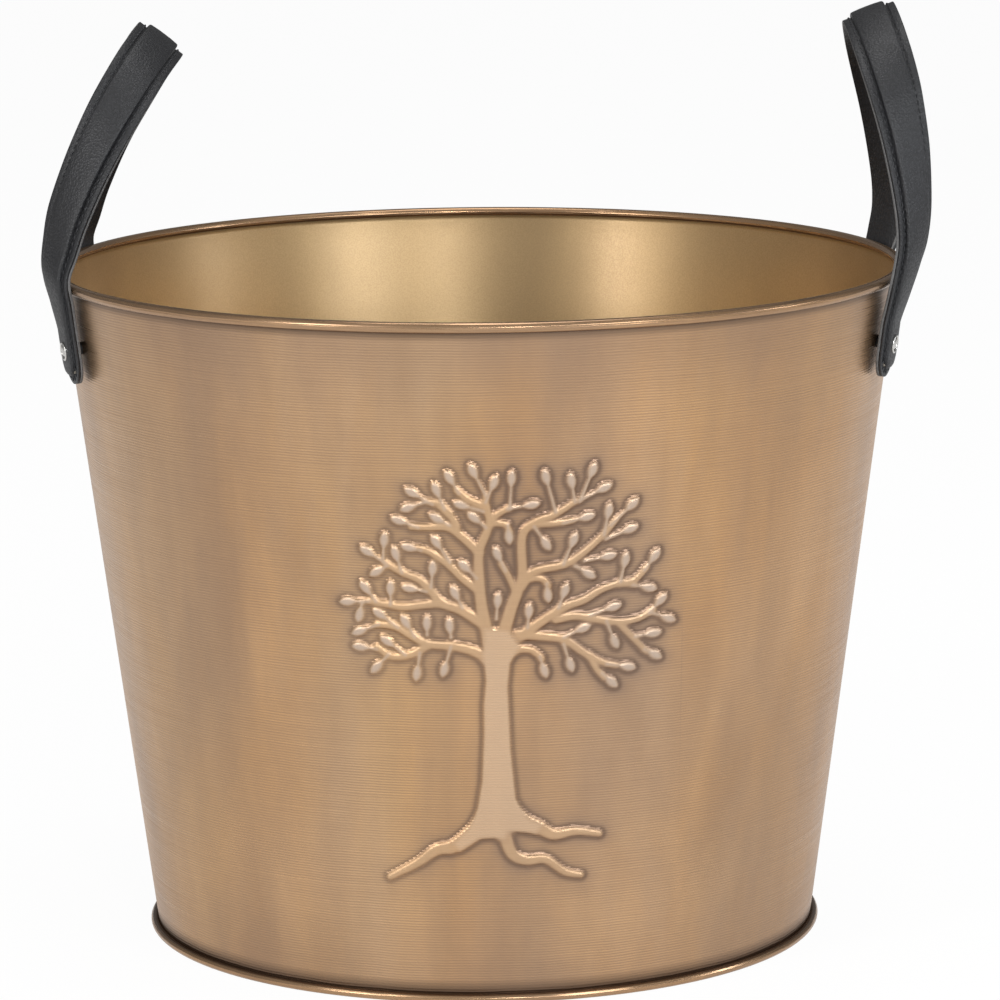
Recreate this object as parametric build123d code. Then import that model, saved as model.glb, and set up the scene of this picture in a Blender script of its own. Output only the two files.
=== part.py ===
import math
import os

from build123d import *

# Sizes in millimetres. The bucket stands on z = 0, round its own axis, with the tree towards -Y.

# Bucket
bucket_height = 300.0
rim_outer_diameter = 380.0
foot_outer_diameter = 303.4
sheet_thickness = 1.0
rim_wire_diameter = 2.7
foot_wire_diameter = 1.7
wire_clearance = 0.05
rim_bead_inward_step = 0.6
foot_bead_lap = 0.3
foot_flat_depth = 0.3

# Base pan
pan_floor_height = 9.0
pan_flange_depth = 6.5
pan_thickness = 1.0
pan_clearance = 0.1

# Tree relief, in the front view: X across and Z up
relief_height = 1.4
limb_tip_width = 3.0
leaf_length = 7.6
leaf_width = 4.3
stalk_width = 2.2
steps_per_limb_point = 2

# Strap section
strap_width = 24.0
band_width = 15.4
band_height = 2.0
cover_thickness = 1.25
lining_thickness = 1.2
glue_line = 0.05
core_clearance = 0.1
thread_width = 0.7
thread_height = 0.35
thread_gap = 0.5

# Strap ends
rivet_height = 271.0
rivet_azimuth = 18.7
tab_tip_below_rivet = 15.0
band_tip_inset = 3.6
tab_straight_above_rivet = 9.0
hinge_height = 303.5
flex_half_length = 12.5
flex_gap = 0.35
strap_bow = {"left": 1.7, "right": 4.0}
tab_top_twist = {"left": 8.0, "right": 6.0}
hinge_twist = {"left": 16.0, "right": 13.0}

# Rivets
shank_diameter = 3.2
rivet_head_diameter = 8.4
rivet_head_height = 0.9
rivet_ring_width = 1.1
rivet_groove_depth = 0.5
spacer_length = 3.0
spacer_diameter = 5.4
washer_diameter = 11.0
washer_thickness = 0.8
washer_clearance = 0.12
cap_height = 1.3
hole_clearance = 0.05

# Each loop, from above its hinge to its crown: how far inwards, how far up and how far off the
# middle each station lies, and how far the strap has twisted there, in degrees. The left loop
# leans inwards further than the right one.
loop_lean = {"left": 17.2, "right": 0.0}
crown_tilt = 20.8
loop_stations = {
    "left": [
        (-1.5, 12.5, 61.3, 29.0),
        (-2.0, 27.8, 60.7, 40.0),
        (0.2, 50.8, 57.5, 51.0),
        (4.5, 74.1, 49.6, 67.0),
        (10.1, 95.6, 31.0, 84.0),
        (13.7, 105.0, 0.0, 90.0),
    ],
    "right": [
        (-2.6, 12.5, 61.3, 20.0),
        (-2.7, 28.0, 60.4, 29.0),
        (0.1, 52.6, 57.0, 46.0),
        (4.8, 76.0, 49.4, 63.0),
        (10.0, 95.6, 30.6, 80.0),
        (12.8, 105.4, 0.0, 90.0),
    ],
}
steps_per_station = 4

# Values worked out from the sizes above
rim_bead_radius = rim_wire_diameter / 2 + wire_clearance + sheet_thickness
foot_bead_radius = foot_wire_diameter / 2 + wire_clearance + sheet_thickness
rim_bead_centre = (rim_outer_diameter / 2 - rim_bead_radius, bucket_height - rim_bead_radius)
foot_bead_centre = (foot_outer_diameter / 2 - foot_bead_radius, foot_bead_radius - foot_flat_depth)
wall_top_radius = rim_bead_centre[0] - rim_bead_radius + rim_bead_inward_step + sheet_thickness
wall_foot_radius = foot_bead_centre[0] - foot_bead_radius + foot_bead_lap
wall_slope = (wall_top_radius - wall_foot_radius) / (rim_bead_centre[1] - foot_bead_centre[1])
wall_angle = math.atan(wall_slope)
strap_half = strap_width / 2
band_half = band_width / 2
strap_underside = -(lining_thickness + glue_line + cover_thickness / 2)
cover_underside = strap_underside + lining_thickness + glue_line
flange_top = cover_underside + cover_thickness
band_top = flange_top + band_height
core_half = band_half - cover_thickness - core_clearance
core_top = band_top - cover_thickness - core_clearance
strap_stand_off = spacer_length - strap_underside
side_sign = {"left": -1, "right": 1}
leg_sign = {"front": -1, "rear": 1}


def wall_radius(z):
    """Outer radius of the wall at a height."""
    return wall_foot_radius + wall_slope * (z - foot_bead_centre[1])


def turned(points):
    """Solid of revolution about Z from an outline of (radius, height) points."""
    return revolve(Plane.XZ * Polygon(*points, align=None), Axis.Z)


def ring_at(centre, radius):
    """Ring of round section about Z."""
    return revolve(Plane.XZ * Pos(*centre) * Circle(radius), Axis.Z)


def blend_curve(stations, steps):
    """Points of a smooth curve through the stations, with a number of steps from each to the next."""
    last = len(stations) - 1
    points = []
    for i in range(last):
        before, a, b, after = (stations[min(max(k, 0), last)] for k in range(i - 1, i + 3))
        for step in range(steps):
            t = step / steps
            points.append(
                tuple(
                    0.5 * (2 * q + (r - p) * t + (2 * p - 5 * q + 4 * r - s) * t**2 + (3 * q - p - 3 * r + s) * t**3)
                    for p, q, r, s in zip(before, a, b, after)
                )
            )
    points.append(stations[last])
    return points


# Tree relief


def trunk_outline():
    """Trunk with the swellings where the limbs and the roots leave it."""
    return [
        (1, 168), (0, 156), (1, 145), (0, 134), (0, 121), (-1, 100), (-3, 88), (-6, 80), (-13, 72),
        (-10, 69), (-2, 74), (3, 74), (9, 74), (10, 77), (22, 76), (25, 80), (19, 83), (14, 92),
        (12, 114), (11, 142), (12, 152), (16, 160), (11, 167),
    ]


def limb_lines():
    """Each limb of the tree as its points and its width at the root."""
    return [
        ([(3, 162), (0, 177), (-1, 190), (-1, 201), (2, 209), (5, 216), (11, 220)], 6.0),
        ([(4, 214), (2, 222), (2, 225)], 4.0),
        ([(2, 221), (-5, 224), (-10, 228)], 3.6),
        ([(5, 214), (10, 213), (12, 210)], 3.4),
        ([(-1, 201), (-8, 208), (-14, 212), (-22, 212), (-29, 212)], 4.2),
        ([(-10, 212), (-12, 216), (-17, 221)], 3.6),
        ([(-13, 218), (-17, 222), (-21, 223)], 3.4),
        ([(-2, 185), (-8, 190), (-14, 196), (-21, 201), (-26, 203)], 4.0),
        ([(0, 170), (-9, 176), (-17, 179), (-21, 184), (-26, 189), (-33, 192), (-40, 196)], 4.8),
        ([(-17, 179), (-25, 178), (-33, 177), (-41, 178), (-47, 179)], 4.0),
        ([(1, 155), (-4, 158), (-12, 160), (-23, 161), (-29, 164), (-36, 168), (-44, 169)], 4.8),
        ([(-23, 160), (-30, 156), (-38, 155), (-44, 159)], 3.8),
        ([(8, 162), (12, 176), (15, 184), (17, 191), (17, 208), (23, 214), (31, 217), (39, 222)], 6.0),
        ([(24, 213), (31, 213), (38, 214)], 3.6),
        ([(18, 190), (24, 193), (35, 195), (43, 200), (51, 207), (56, 213)], 4.2),
        ([(14, 184), (11, 191), (8, 196)], 3.4),
        ([(17, 186), (20, 189), (25, 189), (28, 186)], 3.4),
        ([(16, 164), (23, 169), (34, 176), (43, 179), (50, 183), (58, 185), (64, 184)], 4.8),
        ([(58, 185), (64, 186), (69, 191)], 3.6),
        ([(31, 171), (39, 172), (48, 170), (58, 168), (66, 169), (72, 172)], 4.2),
        ([(58, 167), (63, 161), (69, 154)], 3.6),
        ([(15, 165), (23, 164), (34, 162), (42, 156), (50, 151), (56, 149)], 4.6),
        ([(45, 154), (48, 148), (51, 144)], 3.4),
        ([(13, 158), (20, 158), (25, 154)], 3.6),
    ]


def root_lines():
    """Each root of the tree as its points and its width where it leaves the trunk."""
    return [
        ([(-4, 81), (-13, 70), (-20, 70), (-28, 63), (-40, 56)], 9.0),
        ([(16, 82), (24, 78), (30, 75), (39, 76), (49, 74)], 7.0),
        ([(9, 75), (12, 67), (18, 64), (26, 64), (34, 58), (41, 56)], 6.0),
    ]


def bud_lines():
    """Each leaf bud as the point where its stalk leaves a limb and the point of its tip."""
    return [
        ((11, 220), (25, 222)), ((12, 220), (13, 237)), ((2, 223), (7, 235)), ((2, 226), (-5, 240)),
        ((-9, 227), (-15, 237)), ((1, 219), (-12, 223)), ((2, 212), (-6, 219)), ((11, 213), (12, 204)),
        ((-26, 212), (-38, 216)), ((-13, 213), (-22, 218)), ((-15, 220), (-20, 232)),
        ((-20, 222), (-32, 229)), ((-23, 223), (-34, 219)), ((-25, 202), (-34, 204)),
        ((-13, 197), (-21, 209)), ((-2, 190), (-10, 198)), ((-40, 196), (-51, 203)),
        ((-41, 198), (-40, 210)), ((-33, 192), (-37, 204)), ((-39, 195), (-47, 190)),
        ((-21, 186), (-20, 198)), ((-23, 184), (-34, 186)), ((-8, 177), (-13, 187)),
        ((-47, 179), (-60, 178)), ((-44, 179), (-51, 188)), ((-38, 178), (-38, 189)),
        ((-50, 178), (-52, 169)), ((-43, 169), (-55, 164)), ((-28, 164), (-34, 174)),
        ((-35, 168), (-46, 176)), ((-44, 158), (-55, 159)), ((-39, 156), (-47, 147)),
        ((-26, 157), (-28, 144)), ((-13, 160), (-17, 146)), ((-32, 156), (-43, 164)),
        ((31, 218), (26, 237)), ((39, 222), (37, 235)), ((41, 222), (48, 239)), ((42, 223), (55, 229)),
        ((34, 213), (48, 216)), ((22, 212), (29, 201)), ((34, 195), (40, 209)), ((51, 207), (54, 221)),
        ((54, 211), (66, 222)), ((52, 205), (66, 210)), ((43, 196), (57, 198)), ((39, 194), (48, 188)),
        ((10, 193), (5, 204)), ((6, 172), (7, 184)), ((27, 187), (28, 178)), ((32, 176), (36, 187)),
        ((19, 168), (20, 179)), ((58, 186), (61, 199)), ((68, 190), (75, 199)), ((63, 184), (74, 181)),
        ((45, 172), (59, 176)), ((70, 171), (78, 179)), ((71, 171), (82, 166)), ((52, 169), (57, 156)),
        ((64, 161), (76, 162)), ((68, 155), (76, 150)), ((34, 163), (46, 168)), ((52, 150), (65, 147)),
        ((50, 146), (57, 139)), ((34, 160), (38, 147)), ((24, 155), (27, 145)),
        ((-13, 164), (-14, 173)), ((-23, 165), (-23, 174)),
    ]


def tapered_strip(points, root_width, tip_width):
    """Flat strip along a smooth line through some points, narrowing from root to tip."""
    line = blend_curve(points, steps_per_limb_point)
    left = []
    right = []
    last = len(line) - 1
    for i, (x, z) in enumerate(line):
        ahead = line[min(i + 1, last)]
        behind = line[max(i - 1, 0)]
        length = math.dist(ahead, behind)
        half = (root_width + (tip_width - root_width) * i / last) / 2
        across = (-(ahead[1] - behind[1]) / length * half, (ahead[0] - behind[0]) / length * half)
        left.append((x + across[0], z + across[1]))
        right.append((x - across[0], z - across[1]))
    return make_face(Polyline(*left, *reversed(right), close=True))


def leaf_bud(root, tip):
    """Rounded bud that ends at its tip, with the thin stalk that joins it to its limb."""
    length = math.dist(root, tip)
    ahead = ((tip[0] - root[0]) / length, (tip[1] - root[1]) / length)
    outline = [(0, 0.45), (0.25, 0.8), (0.55, 1.0), (0.8, 0.8), (0.94, 0.42), (1, 0)]
    outline += [(along, -side) for along, side in reversed(outline[:-1])]
    points = [(root[0] - ahead[1] * stalk_width / 2, root[1] + ahead[0] * stalk_width / 2)]
    for along, side in outline:
        a = length - leaf_length * (1 - along)
        s = side * leaf_width / 2
        points.append((root[0] + a * ahead[0] - s * ahead[1], root[1] + a * ahead[1] + s * ahead[0]))
    points.append((root[0] + ahead[1] * stalk_width / 2, root[1] - ahead[0] * stalk_width / 2))
    return make_face(Polyline(*points, close=True))


def tree_outline():
    """Whole tree as one flat shape in the front view."""
    pieces = [make_face(Polyline(*trunk_outline(), close=True))]
    for points, root_width in limb_lines() + root_lines():
        pieces.append(tapered_strip(points, root_width, limb_tip_width))
    for root, tip in bud_lines():
        pieces.append(leaf_bud(root, tip))
    return Sketch() + pieces


def wall_shell(inside, outside):
    """Front part of a conical skin between two distances from the wall's outer surface."""
    low = foot_bead_centre[1] + foot_bead_radius
    high = rim_bead_centre[1] - rim_bead_radius
    return turned(
        [
            (wall_radius(low) + inside, low),
            (wall_radius(low) + outside, low),
            (wall_radius(high) + outside, high),
            (wall_radius(high) + inside, high),
        ]
    )


def tree_relief():
    """The tree as it stands out of the wall's front."""
    outline = Plane.XZ * tree_outline()
    prism = extrude(outline, amount=rim_outer_diameter / 2 + relief_height)
    return prism & wall_shell(-sheet_thickness / 2, relief_height)


# Bucket


def rivet_plane(side, leg, distance=0.0):
    """Plane of the wall at a rivet: X across the strap to its outer edge, Y up the wall, Z out of it."""
    azimuth = math.radians(rivet_azimuth)
    outwards = Vector(side_sign[side] * math.cos(azimuth), leg_sign[leg] * math.sin(azimuth), 0)
    normal = outwards * math.cos(wall_angle) - Vector(0, 0, math.sin(wall_angle))
    up_wall = outwards * math.sin(wall_angle) + Vector(0, 0, math.cos(wall_angle))
    point = outwards * wall_radius(rivet_height) + Vector(0, 0, rivet_height)
    return Plane(origin=point + normal * distance, x_dir=up_wall.cross(normal), z_dir=normal)


def post(side, leg, radius, start, end):
    """Round bar along a rivet's line, between two distances from the wall's outer surface."""
    return extrude(rivet_plane(side, leg, start) * Circle(radius), amount=end - start)


def rivet_hole(side, leg):
    reach = spacer_length + band_top - strap_underside + rivet_head_height
    return post(side, leg, shank_diameter / 2 + hole_clearance, -reach, reach)


def bucket_wall():
    """Tapered wall with its rim and foot rolled over wires, rivet holes and the pressed tree."""
    top = rim_bead_centre[1]
    foot = foot_bead_centre[1]
    sheet = [
        (wall_radius(foot) - sheet_thickness, foot),
        (wall_radius(foot), foot),
        (wall_radius(top), top),
        (wall_radius(top) - sheet_thickness, top),
    ]
    section = Sketch() + Polygon(*sheet, align=None)
    section += Pos(*rim_bead_centre) * Circle(rim_bead_radius)
    section += Pos(*foot_bead_centre) * Circle(foot_bead_radius)
    section -= Pos(*rim_bead_centre) * Circle(rim_wire_diameter / 2 + wire_clearance)
    section -= Pos(*foot_bead_centre) * Circle(foot_wire_diameter / 2 + wire_clearance)
    section -= Pos(foot_bead_centre[0], -foot_bead_radius) * Rectangle(rim_outer_diameter, foot_bead_radius * 2)
    wall = revolve(Plane.XZ * section, Axis.Z)
    wall = wall + tree_relief()
    for side in side_sign:
        for leg in leg_sign:
            wall = wall - rivet_hole(side, leg)
    return wall


def rim_wire():
    return ring_at(rim_bead_centre, rim_wire_diameter / 2)


def foot_wire():
    return ring_at(foot_bead_centre, foot_wire_diameter / 2)


def base_pan():
    """Flat floor with a flange turned down inside the wall."""
    low = pan_floor_height - pan_flange_depth

    def skin(z):
        return wall_radius(z) - sheet_thickness - pan_clearance

    return turned(
        [
            (0, pan_floor_height - pan_thickness),
            (skin(pan_floor_height - pan_thickness) - pan_thickness, pan_floor_height - pan_thickness),
            (skin(low) - pan_thickness, low),
            (skin(low), low),
            (skin(pan_floor_height), pan_floor_height),
            (0, pan_floor_height),
        ]
    )


# Straps


def strap_stations(side):
    """Stations from a front rivet to the crown, as (x, y, z, twist)."""
    out = side_sign[side]
    azimuth = math.radians(rivet_azimuth)
    lean = math.radians(loop_lean[side])
    rivet = rivet_plane(side, "front", strap_stand_off).origin

    def above_rivet(rise, bow_share, twist=0.0):
        run = rise * wall_slope
        bow = strap_bow[side] * bow_share
        return (
            rivet.X + out * (run * math.cos(azimuth) + bow),
            rivet.Y - run * math.sin(azimuth),
            rivet.Z + rise,
            twist,
        )

    hinge = above_rivet(hinge_height - rivet.Z, 1.0, hinge_twist[side])
    stations = [
        above_rivet(0.0, 0.0),
        above_rivet(tab_straight_above_rivet * math.cos(wall_angle), 0.0),
        above_rivet(hinge_height - flex_half_length - rivet.Z, 0.5, tab_top_twist[side]),
        hinge,
    ]
    for inwards, up, off_middle, twist in loop_stations[side]:
        across = inwards * math.cos(lean) + up * math.sin(lean)
        rise = up * math.cos(lean) - inwards * math.sin(lean)
        stations.append((hinge[0] - out * across, -off_middle, hinge_height + rise, twist))
    return stations


def strap_frames(side):
    """Section planes all along a strap, from its front rivet to its rear one: X to the strap's outer edge."""
    out = side_sign[side]
    stations = strap_stations(side)
    rear = [(x, -y, z, 180.0 - twist) for x, y, z, twist in reversed(stations[:-1])]
    points = blend_curve(stations + rear, steps_per_station)
    tilt = math.radians(crown_tilt + loop_lean[side])
    azimuth = math.radians(rivet_azimuth)
    crown_across = Vector(-out * math.cos(tilt), 0, -math.sin(tilt))
    middle = len(points) // 2
    frames = []
    for i, (x, y, z, twist) in enumerate(points):
        ahead = points[min(i + 1, len(points) - 1)]
        behind = points[max(i - 1, 0)]
        along = (Vector(*ahead[:3]) - Vector(*behind[:3])).normalized()
        leg = -1 if i <= middle else 1
        turn = math.radians(twist if i <= middle else 180.0 - twist)
        tab_across = Vector(-out * math.sin(azimuth), leg * math.cos(azimuth), 0)
        across = tab_across * math.cos(turn) + crown_across * math.sin(turn)
        across = across - along * across.dot(along)
        frames.append(Plane(origin=(x, y, z), x_dir=across, z_dir=along))
    return frames


def cover_outline():
    return [
        (-strap_half, cover_underside),
        (-strap_half, flange_top),
        (-band_half, flange_top),
        (-band_half, band_top),
        (band_half, band_top),
        (band_half, flange_top),
        (strap_half, flange_top),
        (strap_half, cover_underside),
        (band_half - cover_thickness, cover_underside),
        (band_half - cover_thickness, band_top - cover_thickness),
        (cover_thickness - band_half, band_top - cover_thickness),
        (cover_thickness - band_half, cover_underside),
    ]


def box_outline(left, right, low, high):
    return [(left, low), (left, high), (right, high), (right, low)]


def lining_outline():
    return box_outline(-strap_half, strap_half, strap_underside, strap_underside + lining_thickness)


def core_outline():
    return box_outline(-core_half, core_half, cover_underside, core_top)


def thread_outline(edge):
    middle = edge * (band_half + thread_gap + thread_width / 2)
    return box_outline(middle - thread_width / 2, middle + thread_width / 2, flange_top, flange_top + thread_height)


def whole_outline():
    """Outside of the whole strap, where its layers bend as one."""
    return cover_outline()[:8][1:7] + [(strap_half, strap_underside), (-strap_half, strap_underside)]


def along_strap(frames, side, outline):
    """Solid of one strap layer through a run of section planes."""
    out = side_sign[side]
    sections = [frame * make_face(Polyline(*[(x, out * y) for x, y in outline], close=True)) for frame in frames]
    return loft(sections, ruled=True)


def moved_along(frame, distance):
    return Plane(origin=frame.origin + frame.z_dir * distance, x_dir=frame.x_dir, z_dir=frame.z_dir)


def strap_runs(side):
    """Section planes of the front tab, front flex, loop, rear flex and rear tab, in that order."""
    frames = strap_frames(side)
    rivet = rivet_plane(side, "front", strap_stand_off)
    tab_start = Plane(
        origin=rivet.origin + rivet.y_dir * tab_straight_above_rivet, x_dir=rivet.x_dir, z_dir=rivet.y_dir
    )
    if tab_start.x_dir.dot(frames[steps_per_station].x_dir) < 0:
        tab_start = Plane(origin=tab_start.origin, x_dir=-tab_start.x_dir, z_dir=rivet.y_dir)
    flex_low = 2 * steps_per_station
    flex_high = 4 * steps_per_station
    last = len(frames) - 1
    tab = [tab_start] + frames[steps_per_station + 1 : flex_low + 1]
    flex = frames[flex_low : flex_high + 1]
    flex = [moved_along(flex[0], flex_gap)] + flex[1:-1] + [moved_along(flex[-1], -flex_gap)]
    loop = frames[flex_high : last - flex_high + 1]
    return {"tab": tab, "flex": flex, "loop": loop}


def u_plate(side, leg, half_width, tip, low, high):
    """Flat strap end with a round tip, between two heights above the strap's middle line."""
    plane = rivet_plane(side, leg, strap_stand_off + low)
    middle = (tab_straight_above_rivet - tip + half_width) / 2
    length = tab_straight_above_rivet + tip - half_width
    outline = Pos(0, middle) * Rectangle(2 * half_width, length) + Pos(0, half_width - tip) * Circle(half_width)
    return extrude(plane * outline, amount=high - low)


def front_to_rear(shape):
    return mirror(shape, about=Plane.XZ)


def tab_layer(side, leg, outline, plate):
    """One layer of a strap end: its flat plate and the run above it, with the rivet's hole."""
    run = along_strap(strap_runs(side)["tab"], side, outline)
    layer = plate + (run if leg == "front" else front_to_rear(run))
    return layer - rivet_hole(side, leg)


def tab_cover(side, leg):
    tip = tab_tip_below_rivet
    band_tip = tip - band_tip_inset
    plate = u_plate(side, leg, strap_half, tip, cover_underside, flange_top)
    plate = plate + u_plate(side, leg, band_half, band_tip, flange_top, band_top)
    plate = plate - u_plate(
        side, leg, band_half - cover_thickness, band_tip - cover_thickness, cover_underside, band_top - cover_thickness
    )
    return tab_layer(side, leg, cover_outline(), plate)


def tab_lining(side, leg):
    top = strap_underside + lining_thickness
    plate = u_plate(side, leg, strap_half, tab_tip_below_rivet, strap_underside, top)
    return tab_layer(side, leg, lining_outline(), plate)


def tab_core(side, leg):
    tip = tab_tip_below_rivet - band_tip_inset - cover_thickness - core_clearance
    plate = u_plate(side, leg, core_half, tip, cover_underside, core_top)
    return tab_layer(side, leg, core_outline(), plate)


def flex_section(side, leg):
    """Stretch of strap just above the rim, where the leather bends when the loop is folded."""
    run = along_strap(strap_runs(side)["flex"], side, whole_outline())
    return run if leg == "front" else front_to_rear(run)


def loop_layer(side, outline):
    return along_strap(strap_runs(side)["loop"], side, outline)


def loop_stitching(side):
    return Compound(children=[loop_layer(side, thread_outline(edge)) for edge in (-1, 1)])


# Rivets


def rivet(side, leg):
    """Tubular rivet: a ringed head outside and a shank through strap, spacer and wall."""
    seat = strap_stand_off + band_top
    head_radius = rivet_head_diameter / 2
    ring_inside = head_radius - rivet_ring_width
    head = post(side, leg, head_radius, seat, seat + rivet_head_height)
    groove = post(side, leg, ring_inside, seat + rivet_head_height - rivet_groove_depth, seat + rivet_head_height)
    button = post(side, leg, ring_inside - rivet_groove_depth, seat, seat + rivet_head_height)
    shank_end = -(sheet_thickness + washer_clearance + washer_thickness + cap_height / 2)
    shank = post(side, leg, shank_diameter / 2, shank_end, seat)
    return head - groove + button + shank


def spacer(side, leg):
    bore = post(side, leg, shank_diameter / 2 + hole_clearance, 0, spacer_length)
    return post(side, leg, spacer_diameter / 2, 0, spacer_length) - bore


def washer(side, leg):
    near = -(sheet_thickness + washer_clearance)
    far = near - washer_thickness
    disc = post(side, leg, washer_diameter / 2, far, near)
    return disc - post(side, leg, shank_diameter / 2 + hole_clearance, far, near)


def rivet_cap(side, leg):
    """Domed cap on the rivet's end, inside the bucket."""
    near = -(sheet_thickness + washer_clearance + washer_thickness)
    far = near - cap_height
    cap = post(side, leg, rivet_head_diameter / 2, far, near)
    cap = cap - post(side, leg, shank_diameter / 2 + hole_clearance, near - cap_height / 2 - hole_clearance, near)
    rim = cap.edges().filter_by(GeomType.CIRCLE).filter_by(lambda e: e.radius > shank_diameter)
    dome = rim.sort_by(lambda e: (e.center() - rivet_plane(side, leg).origin).length)[-1]
    return fillet(dome, cap_height * 0.6)


def save(name, shape):
    export_step(shape, f"parts/{name}.step")


os.makedirs("parts", exist_ok=True)
save("bucket_wall", bucket_wall())
save("rim_wire", rim_wire())
save("foot_wire", foot_wire())
save("base_pan", base_pan())
for side in side_sign:
    save(f"{side}_handle_cover", loop_layer(side, cover_outline()))
    save(f"{side}_handle_lining", loop_layer(side, lining_outline()))
    save(f"{side}_handle_core", loop_layer(side, core_outline()))
    save(f"{side}_handle_stitching", loop_stitching(side))
    for leg in leg_sign:
        save(f"{side}_{leg}_tab_cover", tab_cover(side, leg))
        save(f"{side}_{leg}_tab_lining", tab_lining(side, leg))
        save(f"{side}_{leg}_tab_core", tab_core(side, leg))
        save(f"{side}_{leg}_flex", flex_section(side, leg))
        save(f"{side}_{leg}_rivet", rivet(side, leg))
        save(f"{side}_{leg}_rivet_cap", rivet_cap(side, leg))
        save(f"{side}_{leg}_spacer", spacer(side, leg))
        save(f"{side}_{leg}_washer", washer(side, leg))
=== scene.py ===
import math

import bpy
import numpy as np
from mathutils import Matrix, Vector


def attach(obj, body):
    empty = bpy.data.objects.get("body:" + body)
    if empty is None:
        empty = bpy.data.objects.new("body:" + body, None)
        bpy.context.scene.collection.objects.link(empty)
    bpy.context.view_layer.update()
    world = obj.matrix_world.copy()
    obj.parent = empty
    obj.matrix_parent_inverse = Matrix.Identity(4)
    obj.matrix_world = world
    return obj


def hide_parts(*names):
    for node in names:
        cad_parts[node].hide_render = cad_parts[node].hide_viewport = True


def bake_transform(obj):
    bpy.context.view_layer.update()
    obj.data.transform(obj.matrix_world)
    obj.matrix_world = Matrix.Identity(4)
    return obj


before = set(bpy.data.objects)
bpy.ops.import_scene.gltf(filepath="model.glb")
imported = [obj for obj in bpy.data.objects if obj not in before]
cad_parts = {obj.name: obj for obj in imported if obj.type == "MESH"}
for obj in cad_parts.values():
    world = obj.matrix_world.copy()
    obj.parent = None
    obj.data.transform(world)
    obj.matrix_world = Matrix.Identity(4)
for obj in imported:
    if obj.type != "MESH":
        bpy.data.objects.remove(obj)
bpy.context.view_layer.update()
bpy.ops.object.select_all(action="DESELECT")
mm = 0.001
sides = {"left": -1, "right": 1}
legs = {"front": -1, "rear": 1}
print("frame loaded")


# Camera

camera = {
    "distance": 2329 * mm,  # in front of the bucket's axis
    "height": 620 * mm,
    "pitch": 0.1821,  # downwards, in radians
    "pan": 0.0037,
    "roll": -0.0085,
    "focalPixels": 5265,
    "framePixels": 1000,
    "sensorWidth": 36,  # millimetres
    "near": 0.1,
    "far": 30,
}


def placeCamera(c):
    data = bpy.data.cameras.new("camera")
    data.sensor_width = c["sensorWidth"]
    data.lens = data.sensor_width * c["focalPixels"] / c["framePixels"]
    data.clip_start, data.clip_end = c["near"], c["far"]
    eye = bpy.data.objects.new("camera", data)
    bpy.context.scene.collection.objects.link(eye)
    ahead = Vector((math.sin(c["pan"]) * math.cos(c["pitch"]),
                    math.cos(c["pan"]) * math.cos(c["pitch"]),
                    -math.sin(c["pitch"])))
    turn = ahead.to_track_quat("-Z", "Y").to_matrix().to_4x4() @ Matrix.Rotation(c["roll"], 4, "Z")
    eye.matrix_world = Matrix.Translation((0, -c["distance"], c["height"])) @ turn
    bpy.context.scene.camera = eye


placeCamera(camera)


# Mesh helpers

outwards = (bpy.ops.mesh.normals_make_consistent, {"inside": False})


def meshPiece(name, verts, faces):
    mesh = bpy.data.meshes.new(name)
    mesh.from_pydata([tuple(v) for v in verts], [], [tuple(f) for f in faces])
    mesh.validate()
    piece = bpy.data.objects.new(name, mesh)
    bpy.context.scene.collection.objects.link(piece)
    return piece


def pick(piece):
    bpy.ops.object.select_all(action="DESELECT")
    piece.select_set(True)
    bpy.context.view_layer.objects.active = piece


def smooth(piece, degrees):
    pick(piece)
    bpy.ops.object.shade_smooth_by_angle(angle=math.radians(degrees))
    piece.select_set(False)


def editMesh(piece, *steps):
    # each step is a mesh operator with its settings, run on the whole piece
    pick(piece)
    bpy.ops.object.mode_set(mode="EDIT")
    for operator, settings in steps:
        bpy.ops.mesh.select_all(action="SELECT")
        operator(**settings)
    bpy.ops.object.mode_set(mode="OBJECT")
    piece.select_set(False)


def spunPiece(name, outline, steps):
    # an outline of (radius, height) in millimetres is drawn as a line and spun round Z
    piece = meshPiece(name, [(r * mm, 0, z * mm) for r, z in outline], [])
    piece.data.edges.add(len(outline) - 1)
    for i, edge in enumerate(piece.data.edges):
        edge.vertices = (i, i + 1)
    spin = {"steps": steps, "angle": 2 * math.pi, "center": (0, 0, 0), "axis": (0, 0, 1)}
    editMesh(piece, (bpy.ops.mesh.spin, spin), (bpy.ops.mesh.remove_doubles, {"threshold": 1e-6}), outwards)
    return piece


def tubeFaces(ringCount, around):
    # faces between rings of vertices that follow one another, and a cap at each end
    faces = [(i * around + k, i * around + (k + 1) % around,
              (i + 1) * around + (k + 1) % around, (i + 1) * around + k)
             for i in range(ringCount - 1) for k in range(around)]
    end = (ringCount - 1) * around
    return faces + [tuple(range(around)), tuple(range(end, end + around))[::-1]]


# Tree relief, laid out in the front view in millimetres: X across and Z up

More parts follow.
